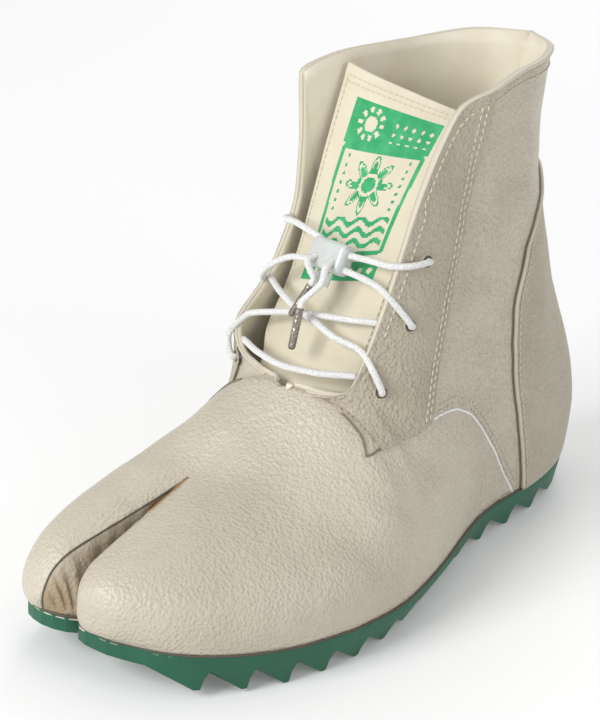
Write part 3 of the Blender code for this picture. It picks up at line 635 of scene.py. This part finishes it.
def make_upper():
    """The upper with its creases and the pleats of the slit. Returns a tree for finding its face."""
    verts, faces, owner, flags = [], [], [], []
    for side in (1, -1):
        grid(rib_rows(side, 0, 8, 44), verts, faces)
        owner.extend([side] * (len(verts) - len(owner)))
        flags.extend([0] * (len(faces) - len(flags)))
        walls = []
        for i in range(PLEAT_ROWS + 1):
            line = [slit_point(side, SLIT_RIB * i / PLEAT_ROWS, j / 10) for j in range(11)]
            for j in range(1, 10):
                fold = math.sin(i * 0.62 + 0.8 * math.sin(i * 0.17)) * math.sin(math.pi * j / 10)
                line[j].x += (PLEAT_DEPTH * side * fold
                              * min(1.0, i / 20) * min(1.0, (PLEAT_ROWS - i) / 25))
            walls.append(line)
        grid(walls, verts, faces)
        owner.extend([0] * (len(verts) - len(owner)))
        # The slit's walls take the gusset leather, whose darker tone is partly painted shade.
        flags.extend([3] * (len(faces) - len(flags)))
    bm, layer = welded(verts, faces, 1, owner, flags)
    moves = [(vert, vert.normal * dent(vert.co, vert[layer])) for vert in bm.verts if vert[layer]]
    for vert, move in moves:
        vert.co += move
    bm.normal_update()
    tree = BVHTree.FromBMesh(bm)
    grains = []
    for vert in bm.verts:
        y, z = vert.co.y * 1000, vert.co.z * 1000
        grains.append(0.62 + 0.38 * min(1.0, max(0.0, (y + 20 + (z - 60) * 0.4) / 50)))
    mesh = bpy.data.meshes.new("upper_shell")
    bm.to_mesh(mesh)
    bm.free()
    values = mesh.attributes.new("grain", "FLOAT", "POINT")
    values.data.foreach_set("value", grains)
    for item in (LEATHER, LINING, EDGE, GUSSET_SHADED):
        mesh.materials.append(item)
    mesh.polygons.foreach_set("use_smooth", [True] * len(mesh.polygons))
    shell = bpy.data.objects.new("upper_shell", mesh)
    bpy.context.scene.collection.objects.link(shell)
    solid = shell.modifiers.new("Wall", "SOLIDIFY")
    solid.thickness = WALL
    solid.offset = -1.0
    solid.material_offset = 1
    solid.material_offset_rim = 2
    keep(shell, "greige_leather", "upper")
    return tree


SKIN = make_upper()


def on_skin(side, y, z, lift=0.0):
    """The point of the upper's face at y and z in the side view, and the way out of it."""
    hit, normal = SKIN.ray_cast(Vector((side * 0.2, y, z)), Vector((-side, 0.0, 0.0)))[:2]
    if hit is None:
        return None
    if normal.x * side < 0:
        normal = -normal
    return hit + normal * lift, normal


def side_line(side, table, lift, steps=90, shift=(0.0, 0.0)):
    """A line drawn in the side view, laid on the upper, with the way out at each point."""
    found = []
    for y, z in along_table(table, steps):
        got = on_skin(side, y + shift[0], z + shift[1], lift)
        if got:
            found.append(got)
    return found


def tube(name, line, radius, looks, sides=10, closed=False):
    """A round tube along a line, of one radius or of one for each point."""
    verts, faces = [], []
    turn = None
    count = len(line)
    for i, point in enumerate(line):
        ahead = line[(i + 1) % count] if closed else line[min(i + 1, count - 1)]
        behind = line[i - 1] if closed or i else line[0]
        along = (ahead - behind).normalized()
        if turn is None:
            turn = along.cross(Vector((0.03, 0.02, 1.0))).normalized()
        turn = (turn - along * turn.dot(along)).normalized()
        other = along.cross(turn)
        size = radius[i] if isinstance(radius, list) else radius
        for k in range(sides):
            angle = 2 * math.pi * k / sides
            verts.append(point + turn * math.cos(angle) * size + other * math.sin(angle) * size)
    rings = count if closed else count - 1
    for i in range(rings):
        for k in range(sides):
            a, b = i * sides + k, i * sides + (k + 1) % sides
            c, d = ((i + 1) % count) * sides + (k + 1) % sides, ((i + 1) % count) * sides + k
            faces.append((a, b, c, d))
    if not closed:
        faces.append(tuple(range(sides))[::-1])
        faces.append(tuple(range((count - 1) * sides, count * sides)))
    return add(name, verts, faces, looks)


def evenly(points, pitch):
    """Points along a line at an even pitch, with the way on at each."""
    places, left = [], pitch / 2
    for a, b in zip(points, points[1:]):
        gone = (b - a).length
        while left < gone:
            places.append((a.lerp(b, left / gone), (b - a).normalized()))
            left += pitch
        left -= gone
    return places


STITCHES = {"verts": [], "faces": []}


def stitch(line, pitch=0.0030, length=0.0021, radius=0.00034):
    """A row of stitches along points that each have a way out of the surface."""
    points = [p for p, n in line]
    normals = [n for p, n in line]
    for place, way in evenly(points, pitch):
        nearest = min(range(len(points)), key=lambda i: (points[i] - place).length_squared)
        out = normals[nearest]
        across = way.cross(out).normalized()
        start = len(STITCHES["verts"])
        rings = ((-0.5, 0.45), (-0.3, 0.95), (0.3, 0.95), (0.5, 0.45))
        for along, size in rings:
            for k in range(STITCH_SIDES):
                angle = 2 * math.pi * k / STITCH_SIDES
                STITCHES["verts"].append(place + way * along * length
                                         + across * math.cos(angle) * radius * size
                                         + out * math.sin(angle) * radius * size)
        for i in range(3):
            for k in range(STITCH_SIDES):
                a = start + i * STITCH_SIDES + k
                b = start + i * STITCH_SIDES + (k + 1) % STITCH_SIDES
                STITCHES["faces"].append((a, b, b + STITCH_SIDES, a + STITCH_SIDES))
        STITCHES["faces"].append(tuple(range(start, start + STITCH_SIDES))[::-1])
        STITCHES["faces"].append(tuple(range(start + 3 * STITCH_SIDES, start + 4 * STITCH_SIDES)))


def make_overlay(name, sides, first, outline, limit, slot, node):
    """A second layer of leather, from the same ribs, cut to an outline in the side view."""
    verts, faces = [], []
    for side in sides:
        grid(rib_rows(side, first, 6, 36), verts, faces)
    bm = welded(verts, faces, sides[0])[0]
    for vert, normal in [(vert, vert.normal.copy()) for vert in bm.verts]:
        side = 1 if vert.co.x > HEEL_SEAM_X else -1
        side = sides[0] if len(sides) == 1 else side
        vert.co += normal * (dent(vert.co, side) - LAYER_SINK)
    mesh = bpy.data.meshes.new(name)
    bm.to_mesh(mesh)
    bm.free()
    piece = bpy.data.objects.new(name, mesh)
    bpy.context.scene.collection.objects.link(piece)
    solid = piece.modifiers.new("Layer", "SOLIDIFY")
    solid.thickness = LAYER_THICKNESS
    solid.offset = 1.0
    corners = [(to_y(t) * 1000, z * SHAFT_HEIGHT * 1000) for t, z in outline + outline[:1]]
    smooth = along_table(corners, 160)
    width = HALF_BALL * 1.6
    bm = bmesh.new()
    base = bm.faces.new([bm.verts.new((-width, y / 1000, z / 1000)) for y, z in smooth[:-1]])
    top = bmesh.ops.extrude_face_region(bm, geom=[base])["geom"]
    moved = [item for item in top if isinstance(item, bmesh.types.BMVert)]
    bmesh.ops.translate(bm, verts=moved, vec=(2 * width, 0, 0))
    bmesh.ops.recalc_face_normals(bm, faces=bm.faces)
    cutter_mesh = bpy.data.meshes.new("cutter")
    bm.to_mesh(cutter_mesh)
    bm.free()
    if len(sides) == 1:
        for vert in cutter_mesh.vertices:
            if vert.co.x * sides[0] < 0:
                vert.co.x = to_x(limit)
    cutter = bpy.data.objects.new("cutter", cutter_mesh)
    bpy.context.scene.collection.objects.link(cutter)
    cut = piece.modifiers.new("Outline", "BOOLEAN")
    cut.operation = "INTERSECT"
    cut.solver = "EXACT"
    cut.object = cutter
    bpy.context.view_layer.update()
    done = bpy.data.meshes.new_from_object(piece.evaluated_get(bpy.context.evaluated_depsgraph_get()))
    piece.modifiers.clear()
    piece.data = done
    bpy.data.objects.remove(cutter, do_unlink=True)
    done.materials.clear()
    done.materials.append(FACING)
    done.polygons.foreach_set("use_smooth", [True] * len(done.polygons))
    done.set_sharp_from_angle(angle=math.radians(50))
    soft = piece.modifiers.new("Soft", "BEVEL")
    soft.width = 0.0004
    soft.segments = 2
    soft.limit_method = "ANGLE"
    soft.angle_limit = math.radians(55)
    keep(piece, slot, node)


make_overlay("facing_outer", (1,), 9 + 1 / 3, EYESTAY_OUTER, THROAT_OUTER,
             "facing_leather", "eyestay_lateral")
make_overlay("facing_inner", (-1,), 9, EYESTAY_INNER, THROAT_INNER,
             "facing_leather", "eyestay_medial")
make_overlay("heel_cap", (1, -1), 14, HEEL_COUNTER, 0.0, "facing_leather", "heel_counter")


def side_view(table):
    """A table of t and height shares as y and z."""
    return [(to_y(t), z * SHAFT_HEIGHT) for t, z in table]


# Seams, rims and stitches, with thin dark lines of painted shadow and shade.
for side, outline in ((1, EYESTAY_OUTER), (-1, EYESTAY_INNER)):
    rear = side_view(outline[9:16])
    which = "outer" if side > 0 else "inner"
    # Thin dark tubes of painted shadow along the eyestay's outline.
    for part, rows in (("rear", outline[9:] + outline[:1]), ("front", outline[:3])):
        around = side_line(side, side_view(rows), 0.0003, steps=110 if part == "rear" else 16)
        keep(tube(f"facing_painted_shadow_{part}_{which}", [p for p, n in around],
                  FACING_SHADOW_RADIUS, [SHADOW], 6), "facing_leather")
    for shift in (-0.0022, -0.0044):
        stitch(side_line(side, rear, LAYER_THICKNESS, shift=(shift, shift * 0.2)))
    for shift in (0.0018, 0.0040):
        stitch(side_line(side, ARC_LINE[6::6], STITCH_LIFT, shift=(shift * 0.35, shift)))
    low = side_line(side, ARC_LINE[::6], -0.0001)
    keep(tube(f"arc_seam_{which}", [p for p, n in low], ARC_SEAM_RADIUS, [BRIGHT], 6),
         "greige_leather")
    counter = side_view(HEEL_COUNTER[:10])
    # A thin dark tube of painted shadow beside the heel counter's piping.
    pipe = side_line(side, counter, 0.0001, shift=(-0.0010, 0.0003))
    keep(tube(f"counter_painted_shadow_{which}", [p for p, n in pipe], COUNTER_SHADOW_RADIUS, [SHADOW], 6),
         "greige_leather")
    pipe = side_line(side, counter, 0.0010)
    keep(tube(f"counter_piping_{which}", [p for p, n in pipe], PIPING_RADIUS, [EDGE], 8),
         "greige_leather")
    stitch(side_line(side, counter, LAYER_THICKNESS, shift=(0.0024, -0.0010)))
    edge = []
    inside = []
    last = last_rib(side)
    for i in range(RIM_STEPS + 1):
        index = RIDGE_END_RIB + (last - RIDGE_END_RIB) * i / RIM_STEPS
        line = rib_line(side, index, INSET_STEPS)
        high = (line[-1] - line[-2]).normalized()
        edge.append(line[-1] - high * RIM_RADIUS)
        k = INSET_STEPS
        while k > 1 and (line[-1] - line[k]).length < STITCH_INSET:
            k -= 1
        got = SKIN.find_nearest(line[k])
        lift = LAYER_THICKNESS if index < FACING_END else STITCH_LIFT
        inside.append((got[0] + got[1] * lift, got[1]))
    sizes = [RIM_RADIUS + RIM_SWELL * min(1.0, max(0.0, (i - 24) / 20))
             for i in range(RIM_STEPS + 1)]
    keep(tube(f"rim_{which}", edge[RIM_START:], sizes[RIM_START:], [EDGE], 8), "greige_leather")
    stitch(inside[44:])
    lip = [crest(side, SLIT_RIB * i / LIP_STEPS) for i in range(4, LIP_STEPS + 1)]
    # On the inner side a near-black line of painted shade runs along the slit's edge.
    if side < 0:
        keep(tube("slit_painted_shade_inner", lip, LIP_RADIUS, [PAINTED_SHADE], 6), "greige_leather")
    else:
        keep(tube("slit_lip_outer", lip[58:], LIP_RADIUS, [TAN], 6), "greige_leather")


def sole_ring(offset, rise, steps=150):
    """A ring round the sole's edge, moved out and up."""
    ring = []
    for side, shares in ((1, np.linspace(0, 1, steps)), (-1, np.linspace(1, 0, steps)[1:-1])):
        for share in shares:
            point = edge_point(side, share) + edge_normal(side, share) * (offset if share > 0 else 0.0)
            ring.append(Vector((point.x, point.y, sole_top(point.y) + rise)))
    return ring


# A near-black line of painted shade where the upper meets the sole.
keep(tube("feather_painted_shade", sole_ring(0.0002, 0.0004), 0.0005, [PAINTED_SHADE], 6, closed=True), "greige_leather")
keep(tube("feather_welt", sole_ring(0.0002, -0.0006), 0.00035, [EDGE], 6, closed=True), "green_rubber")


TONGUE_STITCH = {"pitch": 0.0026, "length": 0.0018, "radius": 0.0003}
RIPPLE = 0.0007
# The height of the tongue's top in the print's own millimetres.
PRINT_TOP = 113


def round_box(u, w, half_u, half_w, radius):
    """How far a point lies outside a box with round corners."""
    du, dw = abs(u) - half_u + radius, abs(w) - half_w + radius
    return math.hypot(max(du, 0), max(dw, 0)) + min(max(du, dw), 0) - radius


def printed(u, w):
    """Whether the print's ink lies at u across and w up the tongue, both in mm."""
    if abs(u) > 21:
        return False
    if 88 < w < 104:
        far, angle = math.hypot(u + 10, w - 96), math.atan2(w - 96, u + 10)
        if far < 3.0 or (4.2 < far < 6.4 and math.cos(angle * 10) > 0):
            return False
        if u > -1 and abs(w - 96) < 5.2 and math.hypot((u % 4) - 2, ((w - 96) % 3.6) - 1.8) < 0.8:
            return False
        return True
    box = round_box(u, w - 66, 20.5, 21.5, 2)
    if abs(box + 0.9) < 0.9:
        return True
    if box < -3:
        far, angle = math.hypot(u, w - 73), math.atan2(w - 73, u)
        petal = 9.0 + 3.2 * math.cos(angle * 8)
        if far < petal and not petal - 2.6 < far < petal - 1.2 and not 3.4 < far < 4.6:
            return True
        if w < 60 and (w - 48 - 1.4 * math.sin(u * 0.55)) % 4.6 < 2.2:
            return True
        return abs(u) > 14 and abs(w - 73) < 11 and math.hypot((u % 3.4) - 1.7, (w % 3.4) - 1.7) < 0.7
    if 34 < w < 42:
        return not math.hypot((u % 5) - 2.5, w - 38) < 1.3
    return False


def make_tongue():
    """The tongue, with its print as faces of a fine grid."""
    ups, acrosses = 230, 128
    verts, faces, inks = [], [], []
    rows = []
    for i in range(ups + 1):
        x_in, t_in, z_in, x_out, t_out, z_out, bow = row(TONGUE, i / ups * (len(TONGUE) - 1))
        inner = Vector((to_x(x_in), to_y(t_in), z_in * SHAFT_HEIGHT))
        outer = Vector((to_x(x_out), to_y(t_out), z_out * SHAFT_HEIGHT))
        line = []
        for j in range(acrosses + 1):
            across = j / acrosses
            point = inner.lerp(outer, across)
            point.y -= 4 * across * (1 - across) * bow * HALF_BALL
            fade = 4 * across * (1 - across) * min(1.0, i / 60)
            point.y += RIPPLE * fade * noise.noise(Vector((point.x, 0, point.z)) * 45.0)
            line.append(point)
        rows.append(line)
    grid(rows, verts, faces)
    length = [0.0]
    for a, b in zip(rows, rows[1:]):
        length.append(length[-1] + (b[acrosses // 2] - a[acrosses // 2]).length * 1000)
    for i in range(ups):
        wide = (rows[i][-1] - rows[i][0]).length * 1000
        for j in range(acrosses):
            u = ((j + 0.5) / acrosses - 0.5) * wide
            inks.append(1 if printed(u, length[i] + PRINT_TOP - length[-1]) else 0)
    piece = add("tongue_cloth", verts, faces, [CANVAS, PRINT])
    if piece.data.polygons[0].normal.y > 0:
        piece.data.flip_normals()
    piece.data.polygons.foreach_set("material_index", inks)
    solid = piece.modifiers.new("Cloth", "SOLIDIFY")
    solid.thickness = TONGUE_THICKNESS
    solid.offset = -1.0
    keep(piece, "cream_canvas", "tongue")
    for down in (5, 8):
        line = [(rows[ups - down][j] + Vector((0, -STITCH_LIFT, 0)), Vector((0, -1, 0)))
                for j in range(3, acrosses - 2)]
        stitch(line, **TONGUE_STITCH)
    for j in (4, acrosses - 4):
        line = [(rows[i][j] + Vector((0, -STITCH_LIFT, 0)), Vector((0, -1, 0)))
                for i in range(60, ups - 5)]
        stitch(line, **TONGUE_STITCH)


make_tongue()


def spot(x, t, z):
    return Vector((to_x(x), to_y(t), z * SHAFT_HEIGHT))


def spots(table):
    return [spot(*line) for line in table]


def smooth_line(points, pitch=0.0011):
    """A lace's line through its route's points."""
    total = [0.0]
    for a, b in zip(points, points[1:]):
        total.append(total[-1] + (b - a).length)
    steps = max(4, int(total[-1] / pitch))
    return [Vector([spline(total, [p[k] for p in points], total[-1] * i / steps) for k in range(3)])
            for i in range(steps + 1)]


# The lace holes: side, then y and z in the side view.
HOLES = {
    "outer_1": (1, -0.0121, 0.087), "outer_2": (1, 0.0029, 0.110), "outer_3": (1, 0.0129, 0.133),
    "inner_1": (-1, -0.0201, 0.0835), "inner_2": (-1, 0.0079, 0.102), "inner_3": (-1, 0.0239, 0.127),
}
# How far out of the hole's centre and how high each ring of the rim lies.
HOLE_RIM = ((0.0033, -0.0002), (0.0028, 0.0003), (0.0022, 0.0001), (0.0021, -0.0008))
HOLE_RADIUS = 0.00225
HOLE_LEVELS = (0.00015, -0.0006)
HOLE_SIDES = 20
LACE_SINK = 0.0004
LACE_RISE = 0.0030
LACE_OVERRUN = 0.003


def hole(name, lift):
    side, y, z = HOLES[name]
    return on_skin(side, y, z, lift)[0]


def make_holes():
    """Each lace hole's pressed rim, and a near-black plug of painted shade inside it."""
    verts, faces = [], []
    dark_verts, dark_faces = [], []
    for side, y, z in HOLES.values():
        centre, out = on_skin(side, y, z, LAYER_THICKNESS)
        a = out.cross(Vector((0, 0, 1))).normalized()
        b = out.cross(a)
        angles = [2 * math.pi * k / HOLE_SIDES for k in range(HOLE_SIDES)]
        spokes = [a * math.cos(angle) + b * math.sin(angle) for angle in angles]
        start, dark = len(verts), len(dark_verts)
        for far, up in HOLE_RIM:
            verts.extend(centre + spoke * far + out * up for spoke in spokes)
        for ring in range(len(HOLE_RIM) - 1):
            for k in range(HOLE_SIDES):
                c = start + ring * HOLE_SIDES + k
                d = start + ring * HOLE_SIDES + (k + 1) % HOLE_SIDES
                faces.append((c, d, d + HOLE_SIDES, c + HOLE_SIDES))
        for up in HOLE_LEVELS:
            dark_verts.extend(centre + spoke * HOLE_RADIUS + out * up for spoke in spokes)
        for k in range(HOLE_SIDES):
            c, d = dark + k, dark + (k + 1) % HOLE_SIDES
            dark_faces.append((c, d, d + HOLE_SIDES, c + HOLE_SIDES))
        dark_faces.append(tuple(range(dark, dark + HOLE_SIDES)))
        dark_faces.append(tuple(range(dark + HOLE_SIDES, dark + 2 * HOLE_SIDES))[::-1])
    keep(add("hole_rims", verts, faces, [FACING]), "facing_leather")
    keep(add("hole_painted_shade", dark_verts, dark_faces, [PAINTED_SHADE], smooth=False), "facing_leather")


make_holes()


def beyond(points, far):
    """The same route carried on past its end."""
    return points + [points[-1] + (points[-1] - points[-2]).normalized() * far]


def from_hole(name, points):
    """A route that comes out of a lace hole and over the edge before its first point."""
    start = hole(name, -LACE_SINK)
    over = hole(name, LACE_RISE)
    middle = over.lerp(points[0], 0.55)
    got = SKIN.find_nearest(middle)
    if (middle - got[0]).length < 0.0035:
        middle = got[0] + got[1] * 0.0033
    return [start, over, middle] + points


low = beyond(beyond(spots(LOW_BAR), LACE_OVERRUN)[::-1], LACE_OVERRUN)
keep(tube("lace_bar", smooth_line(low), LACE_RADIUS, [CORD], LACE_SIDES), "white_cord", "lace_low_bar")
first = from_hole("inner_1", spots(CROSS_A))
second = from_hole("outer_1", spots(CROSS_B))
keep(tube("lace_crossing_1", smooth_line(beyond(first, LACE_OVERRUN)),
          LACE_RADIUS, [CORD], LACE_SIDES), "white_cord", "lace_cross")
keep(tube("lace_crossing_2", smooth_line(beyond(second, LACE_OVERRUN)),
          LACE_RADIUS, [CORD], LACE_SIDES), "white_cord")

outer = spots(OUTER_LOOP)
outer[2] = Vector((-0.0030, outer[2].y, outer[2].z + 0.0008))
outer[3] = Vector((-0.0030, outer[3].y, outer[3].z - 0.0016))
outer = from_hole("outer_3", outer) + [hole("outer_2", LACE_RISE), hole("outer_2", -LACE_SINK)]
inner = spots(INNER_LOOP)
inner[2] = Vector((-0.0135, inner[2].y, inner[2].z + 0.0008))
inner[3] = Vector((-0.0135, inner[3].y, inner[3].z - 0.0016))
inner = from_hole("inner_3", inner) + [hole("inner_2", LACE_RISE), hole("inner_2", -LACE_SINK)]


def cord(name, points, node):
    """A length of lace along its route's points."""
    line = smooth_line(points)
    piece = keep(tube(name, line, LACE_RADIUS, [CORD], LACE_SIDES), "white_cord", node)


def make_aglet(name, table, node):
    """A metal tip, of a size in mm at each share of its length."""
    top, tip = spots(table)
    way = (tip - top).normalized()
    line, sizes = [], []
    long = (tip - top).length
    for share, size in ((0, 1.40), (0.02, 1.55), (0.08, 1.50), (0.5, 1.50), (0.9, 1.48), (0.96, 1.40),
                        (1, 1.0)):
        line.append(top + way * long * share)
        sizes.append(size / 1000)
    return keep(tube(name, line, sizes, [METAL], 20), "gunmetal", node)


tip_1 = make_aglet("metal_tip_1", AGLET_1, "aglet_1")
tip_2 = make_aglet("metal_tip_2", AGLET_2, "aglet_2")
centre = spot(*LOCK_CENTRE)
cord("lace_strand_outer", outer, "lace_outer_loop")
cord("lace_strand_inner", inner, "lace_inner_loop")
end_1 = [centre + Vector((-0.003, 0.001, 0.001))] + spots(END_1) + spots(AGLET_1)
end_1[-1] = end_1[-2].lerp(end_1[-1], 0.9)
end_2 = [centre + Vector((0.003, 0.001, 0.001))] + spots(END_2) + spots(AGLET_2)
end_2[-1] = end_2[-2].lerp(end_2[-1], 0.9)
cord("lace_tail_1", end_1, "lace_end_1")
cord("lace_tail_2", end_2, "lace_end_2")

keep(add("stitching", STITCHES["verts"], STITCHES["faces"], [THREAD]), "greige_leather")

# The solids that stay as they are.
for node, item in (("outsole", RUBBER), ("insole", FOOTBED), ("cord_lock_body", PLASTIC),
                   ("cord_lock_plunger", PLASTIC)):
    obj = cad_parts[node]
    for entry in obj.material_slots:
        entry.material = item
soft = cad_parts["outsole"].modifiers.new("Soft", "BEVEL")
soft.width = 0.00035
soft.segments = 2
soft.limit_method = "ANGLE"
soft.angle_limit = math.radians(25)


def make_stage():
    """The floor and the light."""
    white = look("white_floor", (0.80, 0.80, 0.80), 0.95, Emission_Color=(1, 1, 1, 1),
                 Emission_Strength=0.12)
    floor = add("floor", [(-6, -6, 0), (6, -6, 0), (6, 6, 0), (-6, 6, 0)], [(0, 1, 2, 3)], [white],
                smooth=False)
    world = bpy.data.worlds.new("white")
    world.use_nodes = True
    world.node_tree.nodes["Background"].inputs["Color"].default_value = (1.0, 1.0, 1.0, 1.0)
    world.node_tree.nodes["Background"].inputs["Strength"].default_value = 0.55
    bpy.context.scene.world = world
    lamps = (("key", (-0.25, -1.35, 0.85), 0.7, 18.5), ("side", (1.6, 0.0, 0.8), 0.9, 6.0),
             ("rim", (-0.6, 1.3, 1.1), 0.8, 8.0))
    for name, place, size, energy in lamps:
        data = bpy.data.lights.new(name, "AREA")
        data.energy = energy
        data.size = size
        lamp = bpy.data.objects.new(name, data)
        lamp.location = place
        lamp.rotation_euler = (Vector((0, 0, 0.08)) - Vector(place)).to_track_quat("-Z", "Y").to_euler()
        bpy.context.scene.collection.objects.link(lamp)
    bpy.context.scene.view_settings.view_transform = "Standard"


make_stage()
